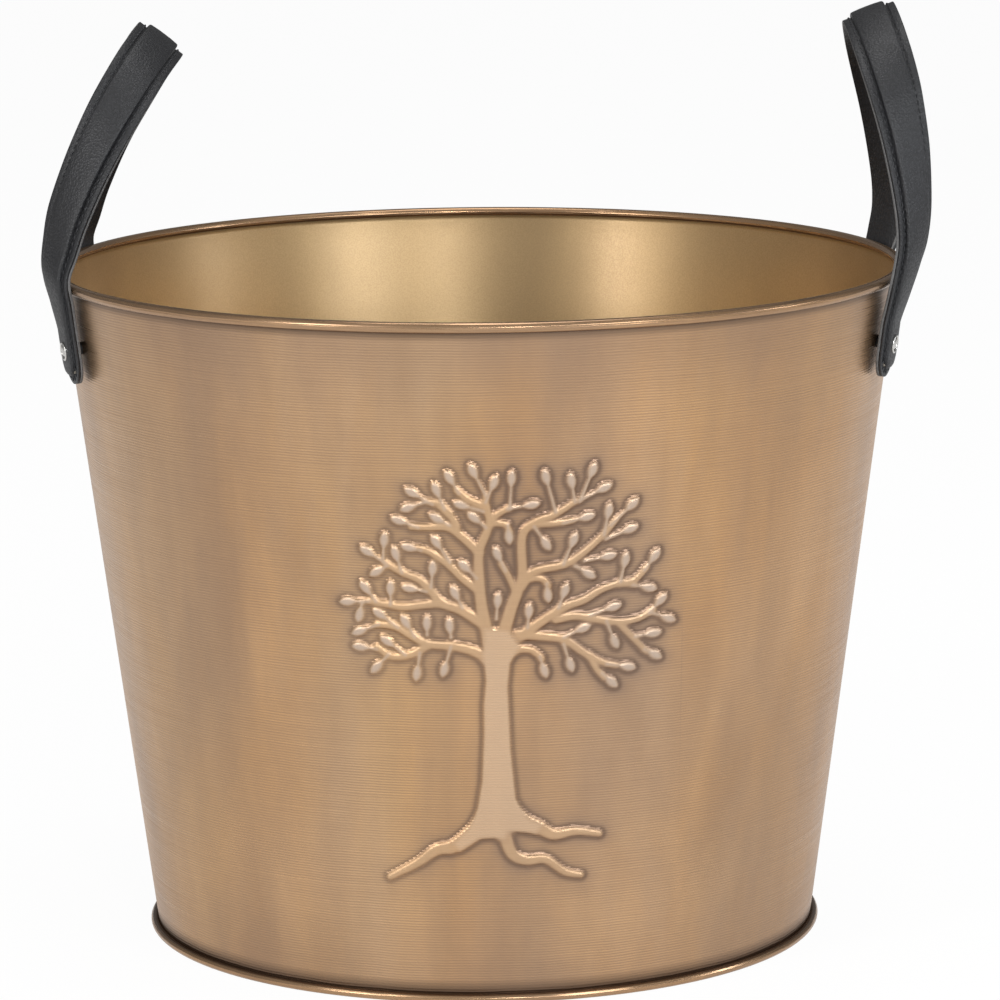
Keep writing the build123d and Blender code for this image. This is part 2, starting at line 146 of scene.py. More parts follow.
tree = {
    "height": 1.4,
    "tipWidth": 3.0,
    "stalkWidth": 2.2,
    "leafLength": 7.6,
    "leafWidth": 4.3,
    "leafSwell": [  # share of the bud's length, and its width there as a share of the leaf's
        (0.0, 0.4), (0.16, 0.66), (0.34, 0.94), (0.5, 1.04), (0.64, 0.94), (0.78, 0.66), (0.9, 0.32)],
    "lineSteps": 5,
    "footRun": 1.2,  # how far the sides of the relief spread at its foot
    "topRun": 1.5,
    "searchReach": 12,
    "farAway": 30.0,  # the distance of what lies past the reach
    "limbJoin": 1.2,  # how far two strokes melt together where they meet
    "trunkJoin": 2.6,
    "trunkFade": (1.5, 4),  # from this far inside the trunk, and over this run, the limbs' tops turn smooth
    "stainPlace": 0.8,
    "stainReach": 1.15,
    "crowdReach": 4.5,
    "leafShoulder": 1.4,
}
trunkOutline = [
    (1, 168), (0, 156), (1, 145), (0, 134), (0, 121), (-1, 100), (-3, 88), (-6, 80), (-13, 72), (-10, 69),
    (-2, 74), (3, 74), (9, 74), (10, 77), (22, 76), (25, 80), (19, 83), (14, 92), (12, 114), (11, 142),
    (12, 152), (16, 160), (11, 167),
]
limbs = [  # points, width at the root
    ([(3, 162), (0, 177), (-1, 190), (-1, 201), (2, 209), (5, 216), (11, 220)], 6.0),
    ([(4, 214), (2, 222), (2, 225)], 4.0),
    ([(2, 221), (-5, 224), (-10, 228)], 3.6),
    ([(5, 214), (10, 213), (12, 210)], 3.4),
    ([(-1, 201), (-8, 208), (-14, 212), (-22, 212), (-29, 212)], 4.2),
    ([(-10, 212), (-12, 216), (-17, 221)], 3.6),
    ([(-13, 218), (-17, 222), (-21, 223)], 3.4),
    ([(-2, 185), (-8, 190), (-14, 196), (-21, 201), (-26, 203)], 4.0),
    ([(0, 170), (-9, 176), (-17, 179), (-21, 184), (-26, 189), (-33, 192), (-40, 196)], 4.8),
    ([(-17, 179), (-25, 178), (-33, 177), (-41, 178), (-47, 179)], 4.0),
    ([(1, 155), (-4, 158), (-12, 160), (-23, 161), (-29, 164), (-36, 168), (-44, 169)], 4.8),
    ([(-23, 160), (-30, 156), (-38, 155), (-44, 159)], 3.8),
    ([(8, 162), (12, 176), (15, 184), (17, 191), (17, 208), (23, 214), (31, 217), (39, 222)], 6.0),
    ([(24, 213), (31, 213), (38, 214)], 3.6),
    ([(18, 190), (24, 193), (35, 195), (43, 200), (51, 207), (56, 213)], 4.2),
    ([(14, 184), (11, 191), (8, 196)], 3.4),
    ([(17, 186), (20, 189), (25, 189), (28, 186)], 3.4),
    ([(16, 164), (23, 169), (34, 176), (43, 179), (50, 183), (58, 185), (64, 184)], 4.8),
    ([(58, 185), (64, 186), (69, 191)], 3.6),
    ([(31, 171), (39, 172), (48, 170), (58, 168), (66, 169), (72, 172)], 4.2),
    ([(58, 167), (63, 161), (69, 154)], 3.6),
    ([(15, 165), (23, 164), (34, 162), (42, 156), (50, 151), (56, 149)], 4.6),
    ([(45, 154), (48, 148), (51, 144)], 3.4),
    ([(13, 158), (20, 158), (25, 154)], 3.6),
]
roots = [
    ([(-2, 79), (-12, 71), (-20, 69), (-28, 63), (-40, 56)], 7.6),
    ([(16, 82), (24, 78), (30, 75), (39, 76), (49, 74)], 7.0),
    ([(9, 75), (12, 67), (18, 64), (26, 64), (34, 58), (41, 56)], 6.0),
]
buds = [  # where the stalk leaves its limb, and the tip
    (11, 220, 25, 222), (12, 220, 13, 237), (2, 223, 7, 235), (2, 226, -5, 240), (-9, 227, -15, 237),
    (1, 219, -12, 223), (2, 212, -6, 219), (11, 213, 12, 204), (-26, 212, -38, 216), (-13, 213, -22, 218),
    (-15, 220, -20, 232), (-20, 222, -32, 229), (-23, 223, -34, 219), (-25, 202, -34, 204),
    (-13, 197, -21, 209), (-2, 190, -10, 198), (-40, 196, -51, 203), (-41, 198, -40, 210),
    (-33, 192, -37, 204), (-39, 195, -47, 190), (-21, 186, -20, 198), (-23, 184, -34, 186),
    (-8, 177, -13, 187), (-47, 179, -60, 178), (-44, 179, -51, 188), (-38, 178, -38, 189),
    (-50, 178, -52, 169), (-43, 169, -55, 164), (-28, 164, -34, 174), (-35, 168, -46, 176),
    (-44, 158, -55, 159), (-39, 156, -47, 147), (-26, 157, -28, 144), (-13, 160, -17, 146),
    (-32, 156, -43, 164), (31, 218, 26, 237), (39, 222, 37, 235), (41, 222, 48, 239), (42, 223, 55, 229),
    (34, 213, 48, 216), (22, 212, 29, 201), (34, 195, 40, 209), (51, 207, 54, 221), (54, 211, 66, 222),
    (52, 205, 66, 210), (43, 196, 57, 198), (39, 194, 48, 188), (10, 193, 5, 204), (6, 172, 7, 184),
    (27, 187, 28, 178), (32, 176, 36, 187), (19, 168, 20, 179), (58, 186, 61, 199), (68, 190, 75, 199),
    (63, 184, 74, 181), (45, 172, 59, 176), (70, 171, 78, 179), (71, 171, 82, 166), (52, 169, 57, 156),
    (64, 161, 76, 162), (68, 155, 76, 150), (34, 163, 46, 168), (52, 150, 65, 147), (50, 146, 57, 139),
    (34, 160, 38, 147), (24, 155, 27, 145), (-13, 164, -14, 173), (-23, 165, -23, 174),
]


def curveThrough(points, steps):
    points = [tuple(map(float, p)) for p in points]
    last = len(points) - 1
    made = []
    for i in range(last):
        o, a, b, c = (np.array(points[min(max(k, 0), last)]) for k in range(i - 1, i + 3))
        for step in range(steps):
            t = step / steps
            made.append(0.5 * (2 * a + (b - o) * t + (2 * o - 5 * a + 4 * b - c) * t**2
                               + (3 * a - o - 3 * b + c) * t**3))
    made.append(np.array(points[last]))
    return np.array(made)


def treeStrokes(t):
    # every stroke is a run of (x, z, half width); a leaf bud is a stroke whose width swells
    limbStrokes, budStrokes = [], []
    for points, rootWidth in limbs + roots:
        line = curveThrough(points, t["lineSteps"])
        half = (rootWidth + (t["tipWidth"] - rootWidth) * np.linspace(0, 1, len(line))) / 2
        limbStrokes.append(np.column_stack([line, half]))
    for bud in buds:
        root, tip = np.array(bud[:2], float), np.array(bud[2:], float)
        ahead = (tip - root) / np.linalg.norm(tip - root)
        stroke = [[*root, t["stalkWidth"] / 2]]
        stroke += [[*(tip - ahead * t["leafLength"] * (1 - share)), t["leafWidth"] / 2 * wide]
                   for share, wide in t["leafSwell"]]
        budStrokes.append(np.array(stroke))
    return limbStrokes, budStrokes


def fromSegment(x, z, a, b):
    # where on a segment each place's nearest point lies, from 0 to 1, and how far off it is
    dx, dz = b[0] - a[0], b[1] - a[1]
    along = np.clip(((x - a[0]) * dx + (z - a[1]) * dz) / (dx * dx + dz * dz), 0, 1)
    return along, np.hypot(x - a[0] - along * dx, z - a[1] - along * dz)


def outlineDistance(x, z, outline):
    # distance to a closed outline, negative inside it
    away, inside = np.full(len(x), np.inf), np.zeros(len(x), bool)
    for a, b in zip(outline, outline[1:] + outline[:1]):
        away = np.minimum(away, fromSegment(x, z, a, b)[1])
        if a[1] != b[1]:
            between = (a[1] > z) != (b[1] > z)
            inside ^= between & (x < a[0] + (z - a[1]) * (b[0] - a[0]) / (b[1] - a[1]))
    return np.where(inside, -away, away)


def softMin(a, b, reach):
    # the smaller of two distances, with their meeting rounded off
    share = np.clip(0.5 + 0.5 * (b - a) / reach, 0, 1)
    return b * (1 - share) + a * share - reach * share * (1 - share)


def strokeDistance(x, z, strokes, t):
    # distance to the edge of the nearest stroke, negative inside it
    edge = np.full(len(x), t["farAway"])
    for stroke in strokes:
        low = stroke[:, :2].min(0) - t["searchReach"]
        high = stroke[:, :2].max(0) + t["searchReach"]
        box = (x > low[0]) & (x < high[0]) & (z > low[1]) & (z < high[1])
        if not box.any():
            continue
        nearest = np.full(box.sum(), t["farAway"])
        for a, b in zip(stroke[:-1], stroke[1:]):
            along, off = fromSegment(x[box], z[box], a, b)
            nearest = np.minimum(nearest, off - a[2] - (b[2] - a[2]) * along)
        edge[box] = softMin(edge[box], nearest, t["limbJoin"])
    return edge


def reliefHeight(edge, t):
    share = np.clip((edge + t["topRun"]) / (t["topRun"] + t["footRun"]), 0, 1)
    return 0.5 + 0.5 * np.cos(math.pi * share)


# Bucket wall: one sheet, with its rim and foot rolled into beads

wall = {
    "footBead": (149.8, 1.6, 1.9),  # radius from the axis, height, bead radius
    "footArc": (-57.4, 140, 12),  # degrees round the bead, from and to, and its points
    "footLap": ((1.6, 0.35), (1.02, 0)),  # inwards from the bead's middle, and height
    "rimBead": (187.6, 297.6, 2.4),
    "rimArc": (-117, 212, 20),
    "footRadius": 148.2,  # outer radius at the foot bead's height
    "topRadius": 186.8,
    "sheet": 1.0,
    "outside": (5, 294),  # heights between which each side runs straight
    "inside": (1.5, 294.5),
    "reliefLow": 52,
    "reliefHigh": 244,
    "reliefFrom": -22.8,  # degrees round from the front, towards +X
    "reliefTo": 30,
    "fineRow": 0.64,
    "fineTurn": 0.2,
    "skip": 8,  # a plain row has one column for so many fine ones
    "innerSkip": 3,
    "coarseTurn": 2.5,
}


def wallRadius(z):
    w = wall
    share = (z - w["footBead"][1]) / (w["rimBead"][1] - w["footBead"][1])
    return w["footRadius"] + (w["topRadius"] - w["footRadius"]) * share


def beadArc(bead, start, end, count):
    angles = np.radians(np.linspace(start, end, count))
    return [(bead[0] + bead[2] * math.cos(a), bead[1] + bead[2] * math.sin(a)) for a in angles]


def wallRows(w):
    # the closed section of the sheet as (radius, height, kind), up the outside and down the inside
    low, high = w["reliefLow"], w["reliefHigh"]
    fine = np.linspace(low, high, round((high - low) / w["fineRow"]) + 1)

    def rows(kind, heights, depth=0.0):
        return [(wallRadius(z) - depth, z, kind) for z in heights]

    def bead(name):
        return [(r, z, "plain") for r, z in beadArc(w[f"{name}Bead"], *w[f"{name}Arc"])]

    made = bead("foot") + rows("plain", np.linspace(w["outside"][0], low, 6)[:-1])
    made += rows("fineStart", [low]) + rows("outer", fine[1:-1]) + rows("fineEnd", [high])
    made += rows("plain", np.linspace(high, w["outside"][1], 6)[1:]) + bead("rim")
    made += rows("inside", np.linspace(w["inside"][1], high, 6)[:-1], w["sheet"])
    made += rows("fineStart", [high], w["sheet"])
    made += rows("inner", fine[-3:1:-w["innerSkip"]], w["sheet"])
    made += rows("fineEnd", [low], w["sheet"])
    made += rows("inside", np.linspace(low, w["inside"][0], 5)[1:], w["sheet"])
    return made + [(w["footBead"][0] - inwards, z, "plain") for inwards, z in w["footLap"]]


def wallColumns(w):
    start, end, block = w["reliefFrom"], w["reliefTo"], w["skip"] * w["innerSkip"]
    fineCount = round((end - start) / w["fineTurn"] / block) * block
    back = 360 - (end - start)
    coarse = np.linspace(end, end + back, round(back / w["coarseTurn"]) + 1)[1:-1]
    return np.concatenate([np.linspace(start, end, fineCount + 1), coarse]), fineCount


def rowBands(rows):
    # pairs of rows; outside the relief's columns, one face crosses each pair
    bands, i = [], 0
    while i < len(rows):
        end = i + 1
        if rows[i][2] == "fineStart":
            end = next(k for k in range(i + 1, len(rows)) if rows[k][2] == "fineEnd")
        bands.append((i, end % len(rows)))
        i = end
    return bands


def wallFaces(rows, stepOf, fineCount, columnCount, index, innerStart):
    faces, insideFace = [], []
    for low, high in rowBands(rows):
        panel = rows[low][2] == "fineStart"
        if panel:
            step = stepOf[low]
            faces += [(index[j, i], index[j + step, i], index[j + step, i + 1], index[j, i + 1])
                      for i in range(low, high) for j in range(0, fineCount, step)]
        else:
            step = math.lcm(stepOf[low], stepOf[high])
            for start in range(0, fineCount, step):
                there, back = ([index[j, i] for j in range(start, start + step + 1) if (j, i) in index]
                               for i in (low, high))
                faces.append(there + back[::-1])
        span = range(low, high + 1) if panel else (low, high)
        for j in range(fineCount, columnCount):
            near, far = ([index[k, i] for i in span if (k, i) in index] for k in (j, (j + 1) % columnCount))
            faces.append([near[0]] + far + near[:0:-1])
        inside = "inside" in (rows[low][2], rows[high][2]) or (panel and low == innerStart)
        insideFace += [inside] * (len(faces) - len(insideFace))
    return faces, insideFace


def makeWall(w, t):
    rows = wallRows(w)
    columns, fineCount = wallColumns(w)
    innerStart = next(i for i, row in enumerate(rows) if row[2] == "inner") - 1
    # how many fine columns each row passes over from one vertex to the next
    stepOf = [w["skip"] if kind in ("plain", "inside") else 1 if i < innerStart else w["innerSkip"]
              for i, (r, z, kind) in enumerate(rows)]
    index, place = {}, []
    for j, turn in enumerate(columns):
        for i, (r, z, kind) in enumerate(rows):
            if kind not in ("outer", "inner") if j > fineCount else j % stepOf[i] == 0:
                index[j, i] = len(place)
                place.append((r, z, math.radians(turn)))
    r, z, turn = np.array(place).T
    x = r * np.sin(turn)
    band = (np.cos(turn) > 0.5) & (z >= w["reliefLow"]) & (z <= w["reliefHigh"])
    limbStrokes, budStrokes = treeStrokes(t)
    woodEdge, budEdge, trunkEdge = (np.full(len(r), t["farAway"]) for k in range(3))
    woodEdge[band] = strokeDistance(x[band], z[band], limbStrokes, t)
    budEdge[band] = strokeDistance(x[band], z[band], budStrokes, t)
    trunkEdge[band] = outlineDistance(x[band], z[band], trunkOutline)
    limbEdge = softMin(woodEdge, budEdge, t["limbJoin"])
    edge = softMin(limbEdge, trunkEdge, t["trunkJoin"])
    height = reliefHeight(edge, t)
    r = r + height * t["height"]
    verts = np.column_stack([r * np.sin(turn), -r * np.cos(turn), z]) * mm
    faces, insideFace = wallFaces(rows, stepOf, fineCount, len(columns), index, innerStart)
    piece = meshPiece("bucketWall", verts, faces)
    fadeFrom, fadeRun = t["trunkFade"]
    shown = {
        "relief": height,
        "smoothTop": height * np.clip((trunkEdge + fadeFrom) / fadeRun, 0, 1),
        "stain": np.exp(-((edge - t["stainPlace"]) / t["stainReach"])**2),
        "crowd": np.exp(-(np.maximum(limbEdge, 0) / t["crowdReach"])**2),
        # the bud tops, which get a painted reflection
        "leafTopReflection": np.clip(-budEdge / t["leafShoulder"], 0, 1),
    }
    for name, values in shown.items():
        attribute = piece.data.attributes.new(name, "FLOAT", "POINT")
        attribute.data.foreach_set("value", np.asarray(values, np.float32))
    piece.data.polygons.foreach_set("material_index", [int(inside) for inside in insideFace])
    return piece


bucketWall = makeWall(wall, tree)
smooth(bucketWall, 50)
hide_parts("bucket_wall")
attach(bucketWall, "bucket")
print("wall made,", len(bucketWall.data.polygons), "faces")


# Base pan, pressed from one disc

pan = {
    "floor": 9.0,
    "thickness": 1.0,
    "flangeLow": 2.5,
    "clearance": 0.1,
    "corner": 2.0,
    "bend": (0, 22, 45, 68, 90),  # degrees round the corner
    "stepRadius": 118,
    "stepHeight": 1.2,
    "stepRun": 4,
    "stepSlope": ((1, 1), (0.6, 0.85), (0.4, 0.15), (0, 0)),  # shares of the run and of the height
    "around": 128,
}


def makePan(p):
    def skin(z):
        return wallRadius(z) - wall["sheet"] - p["clearance"]

    def corner(radius, angles):
        return [(skin(top) - p["corner"] + radius * math.sin(a), top - p["corner"] + radius * math.cos(a))
                for a in np.radians(angles)]

    top, low, thick = p["floor"], p["flangeLow"], p["thickness"]
    step, sunk = p["stepRadius"], top - p["stepHeight"]
    outline = [(0, sunk)]
    outline += [(step - p["stepRun"] * run, top - p["stepHeight"] * drop) for run, drop in p["stepSlope"]]
    outline += corner(p["corner"], p["bend"])
    outline += [(skin(low), low), (skin(low) - thick, low)]
    outline += corner(p["corner"] - thick, p["bend"][::-1])
    outline += [(step, top - thick), (step - p["stepRun"], sunk - thick), (0, sunk - thick)]
    return spunPiece("basePan", outline, p["around"])


basePan = makePan(pan)
smooth(basePan, 35)
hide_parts("base_pan")
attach(basePan, "bucket")
print("base pan made")


# Straps

strap = {
    "half": 12.0,
    "thinEnd": 0.25,  # half of the width that is left at the very tip
    "bandHalf": 7.7,
    "lining": 1.2,
    "liningPast": 0.1,  # how far the lining stands out past the cover
    "glue": 0.05,
    "cover": 1.25,
    "bandHeight": 2.0,
    "bandRise": 2.2,  # how far from its tip the band reaches its height
    "crown": 0.25,
    "crease": 0.28,  # pulled in by the seam beside the band
    "coreHalf": 6.3,
    "coreGap": 0.1,
    "rivetHeight": 271.0,
    "azimuth": 18.7,
    "tip": 15.0,
    "tipSteps": 25,
    "bandTipInset": 3.6,
    "straight": 9.0,
    "hingeHeight": 303.5,
    "flexHalf": 12.5,
    "standOff": 3.0,
    "crownTilt": 20.8,
    "steps": 9,
    "uvScale": 10,
}
strapBow = {"left": 1.7, "right": 4.0}
tabTopTwist = {"left": 8, "right": 6}  # degrees
hingeTwist = {"left": 16, "right": 13}
strapLean = {"left": 17.2, "right": 0.0}
loopStations = {  # inwards, up, off the middle and twist in degrees, from the hinge
    "left": [(-1.5, 12.5, 61.3, 29), (-2, 27.8, 60.7, 40), (0.2, 50.8, 57.5, 51), (4.5, 74.1, 49.6, 67),
             (10.1, 95.6, 31, 84), (13.7, 105, 0, 90)],
    "right": [(-2.6, 12.5, 61.3, 20), (-2.7, 28, 60.4, 29), (0.1, 52.6, 57, 46), (4.8, 76, 49.4, 63),
              (10, 95.6, 30.6, 80), (12.8, 105.4, 0, 90)],
}
strapUnderside = -(strap["lining"] + strap["glue"] + strap["cover"] / 2)
coverUnderside = strapUnderside + strap["lining"] + strap["glue"]
flangeTop = coverUnderside + strap["cover"]
bandTop = flangeTop + strap["bandHeight"]
wallSlope = (wall["topRadius"] - wall["footRadius"]) / (wall["rimBead"][1] - wall["footBead"][1])
wallAngle = math.atan(wallSlope)


def rivetAxes(side, leg):
    # a point on the wall and the directions across the strap, up the wall and out of it
    a = math.radians(strap["azimuth"])
    out = np.array([sides[side] * math.cos(a), legs[leg] * math.sin(a), 0])
    up = np.array([0, 0, 1.0])
    normal = out * math.cos(wallAngle) - up * math.sin(wallAngle)
    upWall = out * math.sin(wallAngle) + up * math.cos(wallAngle)
    point = out * wallRadius(strap["rivetHeight"]) + up * strap["rivetHeight"]
    return point, np.cross(upWall, normal), upWall, normal


def strapPath(side):
    # points along the middle of the strap from its front tip to its rear tip, with the way across it
    s = strap
    out = sides[side]
    point, across, up, normal = rivetAxes(side, "front")
    rivet = point + normal * (s["standOff"] - strapUnderside)
    a = math.radians(s["azimuth"])
    lean = math.radians(strapLean[side])

    def above(rise, bow, twist=0.0):
        run = rise * wallSlope
        return (rivet[0] + out * (run * math.cos(a) + strapBow[side] * bow), rivet[1] - run * math.sin(a),
                rivet[2] + rise, twist)

    hinge = above(s["hingeHeight"] - rivet[2], 1, hingeTwist[side])
    stations = [above(0, 0), above(s["straight"] * math.cos(wallAngle), 0),
                above(s["hingeHeight"] - s["flexHalf"] - rivet[2], 0.5, tabTopTwist[side]), hinge]
    for inwards, upwards, off, twist in loopStations[side]:
        run = inwards * math.cos(lean) + upwards * math.sin(lean)
        rise = upwards * math.cos(lean) - inwards * math.sin(lean)
        stations.append((hinge[0] - out * run, -off, s["hingeHeight"] + rise, twist))
    stations += [(x, -y, z, 180 - twist) for x, y, z, twist in reversed(stations[:-1])]
    curve = curveThrough(stations, s["steps"])[s["steps"]:-s["steps"]]
    reach = s["tip"] + s["straight"]
    ease = 1 - np.cos(np.linspace(0, math.pi / 2, s["tipSteps"] + 1)[:-1])
    tab = [np.append(rivet + up * (reach * e - s["tip"]), 0) for e in ease]
    rear = [np.array([p[0], -p[1], p[2], 180]) for p in reversed(tab)]
    path = np.array(tab + list(curve) + rear)
    points, twist = path[:, :3], np.radians(path[:, 3])
    ahead = np.gradient(points, axis=0)
    ahead[:2] = up
    ahead[-2:] = np.array([-up[0], up[1], -up[2]])
    ahead /= np.linalg.norm(ahead, axis=1)[:, None]
    middle = len(points) // 2
    leg = np.where(np.arange(len(points)) <= middle, -1, 1)
    turn = np.where(leg < 0, twist, math.pi - twist)
    tilt = math.radians(s["crownTilt"]) + lean
    crownAcross = np.array([-out * math.cos(tilt), 0, -math.sin(tilt)])
    tabAcross = np.column_stack([np.full(len(leg), -out * math.sin(a)), leg * math.cos(a), 0 * leg])
    wide = tabAcross * np.cos(turn)[:, None] + crownAcross * np.sin(turn)[:, None]
    wide -= ahead * (wide * ahead).sum(1)[:, None]
    wide /= np.linalg.norm(wide, axis=1)[:, None]
    thick = out * np.cross(ahead, wide)
    run = np.concatenate([[0], np.cumsum(np.linalg.norm(np.diff(points, axis=0), axis=1))])
    return {"points": points, "wide": wide, "thick": thick, "ahead": ahead, "run": run}


def roundEnd(run, total, half, inset):
    # half width of a strip whose two ends are half circles
    fromEnd = np.minimum(run, total - run) - inset
    inTip = np.clip(half - fromEnd, 0, half)
    return np.sqrt(np.maximum(half * half - inTip * inTip, 0))


def sweptPiece(name, path, sections):
    # sections has one closed ring of (across, height) for each point of the path
    ringCount, around = sections.shape[:2]
    rings = (path["points"][:, None, :] + path["wide"][:, None, :] * sections[:, :, :1]
             + path["thick"][:, None, :] * sections[:, :, 1:])
    piece = meshPiece(name, rings.reshape(-1, 3) * mm, tubeFaces(ringCount, around))
    uv = piece.data.uv_layers.new(name="strapUV")
    vertexOf = np.empty(len(piece.data.loops), int)
    piece.data.loops.foreach_get("vertex_index", vertexOf)
    flat = np.column_stack([sections[:, :, 0].ravel(), np.repeat(path["run"], around)])
    uv.data.foreach_set("uv", (flat[vertexOf] * mm * strap["uvScale"]).astype(np.float32).ravel())
    editMesh(piece, outwards)
    return piece


def coverSections(path):
    s = strap
    total = path["run"][-1]
    flange = np.maximum(roundEnd(path["run"], total, s["half"], 0), s["thinEnd"])
    band = roundEnd(path["run"], total, s["bandHalf"], s["bandTipInset"])
    fromEnd = np.minimum(path["run"], total - path["run"])
    rise = np.clip((fromEnd - s["bandTipInset"]) / s["bandRise"], 0, 1)
    sections = []
    for f, b, share in zip(flange, band, np.sqrt(rise * (2 - rise))):
        b = max(min(b, f - 0.8), 0.05) if share > 0 else 0.05
        h, crown, dip = s["bandHeight"] * share, s["crown"] * share, s["crease"] * share
        edge, soft, foot = min(f, 1), min(1, b / 2.5), min(1.0, max((f - b) * 0.4, 0.02))
        half = [(f - 0.25 * edge, coverUnderside), (f, coverUnderside + 0.3), (f, flangeTop - 0.35),
                (f - 0.12 * edge, flangeTop - 0.1), (f - 0.35 * edge, flangeTop),
                (b + foot, flangeTop - 0.02), (b + foot * 0.45, flangeTop - dip),
                (b + foot * 0.12, flangeTop - dip * 0.8), (b + 0.08 * soft, flangeTop + h * 0.3),
                (b, flangeTop + h * 0.66), (b - 0.25 * soft, flangeTop + h * 0.88),
                (b - 0.8 * soft, flangeTop + h * 0.985), (b * 0.45, flangeTop + h + crown * 0.8)]
        left = [(-x, y) for x, y in reversed(half)]
        hollow = max(b - s["cover"], 0.02)  # the padding's channel under the band
        channel = [(-hollow, coverUnderside), (-hollow, coverUnderside + h),
                   (hollow, coverUnderside + h), (hollow, coverUnderside)]
        sections.append(half + [(0.0, flangeTop + h + crown)] + left + channel)
    return np.array(sections)


stripEdges = (0, 1, 2, 4, 5, 6)  # the faces round a strip that are neither its top nor its underside


def stripSections(path, half, low, high, inset, bevel):
    sections = []
    for f in np.maximum(roundEnd(path["run"], path["run"][-1], half, inset), 0.2):
        b = min(bevel, f * 0.5)
        right = [(f - b, low), (f, low + b), (f, high - b), (f - b, high)]
        sections.append(right + [(-x, y) for x, y in reversed(right)])
    return np.array(sections)


def trimmedPath(path, inset):
    keep = (path["run"] >= inset) & (path["run"] <= path["run"][-1] - inset)
    return {k: v[keep] for k, v in path.items()}


def blendedWithHandle(piece, side, *nodes):
    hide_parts(*nodes)
    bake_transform(piece)


stitch = {
    "pitch": 3.3,
    "length": 2.5,
    "width": 0.72,
    "height": 0.5,
    "rings": [  # place along it, size and lift
        (-0.5, 0.25, -0.5), (-0.38, 0.8, 0.35), (-0.15, 1.0, 0.95),
        (0.15, 1.0, 0.95), (0.38, 0.8, 0.35), (0.5, 0.25, -0.5)],
    "around": 6,
    "fromBand": 1.35,
    "slant": 7,
    "sunk": 0.03,
}


def stitchTemplate(s):
    # a small pillow whose two ends dip into the leather
    angles = 2 * math.pi * np.arange(s["around"]) / s["around"]
    verts = [(along * s["length"], math.cos(a) * size * s["width"] / 2,
              (lift + math.sin(a) * size) * s["height"] / 2)
             for along, size, lift in s["rings"] for a in angles]
    return np.array(verts), tubeFaces(len(s["rings"]), s["around"])


def seamPlaces(path, s):
    # run along the strap, distance across it, and the direction of the seam in that plane
    total = path["run"][-1]
    off = strap["bandHalf"] + s["fromBand"]
    centre = strap["bandTipInset"] + strap["bandHalf"]
    count = int((total - 2 * centre) / s["pitch"])
    places = [(centre + (total - 2 * centre) * k / count, across, 0.0)
              for k in range(count + 1) for across in (off, -off)]
    arc = int(math.pi * off / s["pitch"])
    for a in (math.pi * k / arc for k in range(1, arc)):
        run, across, heading = centre - off * math.sin(a), off * math.cos(a), math.pi / 2 + a
        places += [(run, across, heading), (total - run, across, -heading)]
    return places


def makeStitches(side, path, s):
    shape, shapeFaces = stitchTemplate(s)
    verts, faces = [], []
    for run, across, heading in seamPlaces(path, s):
        point, wide, thick, ahead = (np.array([np.interp(run, path["run"], path[k][:, c]) for c in range(3)])
                                     for k in ("points", "wide", "thick", "ahead"))
        wide, thick, ahead = (v / np.linalg.norm(v) for v in (wide, thick, ahead))
        turn = heading + math.radians(s["slant"])
        along = ahead * math.cos(turn) + wide * math.sin(turn)
        sideways = np.cross(thick, along)
        base = point + wide * across + thick * (flangeTop - s["sunk"])
        start = len(verts)
        verts += list(base + shape[:, :1] * along + shape[:, 1:2] * sideways + shape[:, 2:] * thick)
        faces += [tuple(i + start for i in f) for f in shapeFaces]
    piece = meshPiece(f"{side}HandleStitches", np.array(verts) * mm, faces)
    editMesh(piece, outwards)
    return piece


def makeStrap(side, s):
    path = strapPath(side)
    corePath = trimmedPath(path, s["bandTipInset"] + s["cover"] + s["coreGap"])
    coreLow, coreHigh = coverUnderside + s["coreGap"], bandTop - s["cover"] - 2 * s["coreGap"]
    lining = stripSections(path, s["half"] + s["liningPast"], strapUnderside, strapUnderside + s["lining"],
                           -s["liningPast"], 0.15)
    core = stripSections(corePath, s["coreHalf"], coreLow, coreHigh, 0, 0.3)
    layers = {
        "cover": sweptPiece(f"{side}HandleCover", path, coverSections(path)),
        "lining": sweptPiece(f"{side}HandleLining", path, lining),
        "core": sweptPiece(f"{side}HandleCore", corePath, core),
        "stitches": makeStitches(side, path, stitch),
    }
    for layer in ("cover", "lining", "core"):
        nodes = [f"{side}_handle_{layer}"] + [f"{side}_{leg}_tab_{layer}" for leg in legs]
        if layer == "cover":
            nodes += [f"{side}_{leg}_flex" for leg in legs]
        smooth(layers[layer], 60)
        blendedWithHandle(layers[layer], side, *nodes)
    smooth(layers["stitches"], 70)
    blendedWithHandle(layers["stitches"], side, f"{side}_handle_stitching")
    print(side, "strap made, length", round(path["run"][-1]), "mm")
    return layers


straps = {side: makeStrap(side, strap) for side in sides}


# Rivets with a rolled ring and a bright button

rivet = {
    "radius": 4.2,
    "ring": 1.1,
    "ringArc": (-40, 200, 9),
    "ringLift": 0.42,
    "height": 1.0,
    "shank": 1.6,
    "button": 2.45,
    "buttonSteps": 7,
    "groove": 0.35,
    "grooveLift": 0.05,
    "grooveHigh": 0.35,  # how far up the groove's painted shade goes
    "end": -2.45,
    "around": 40,
}


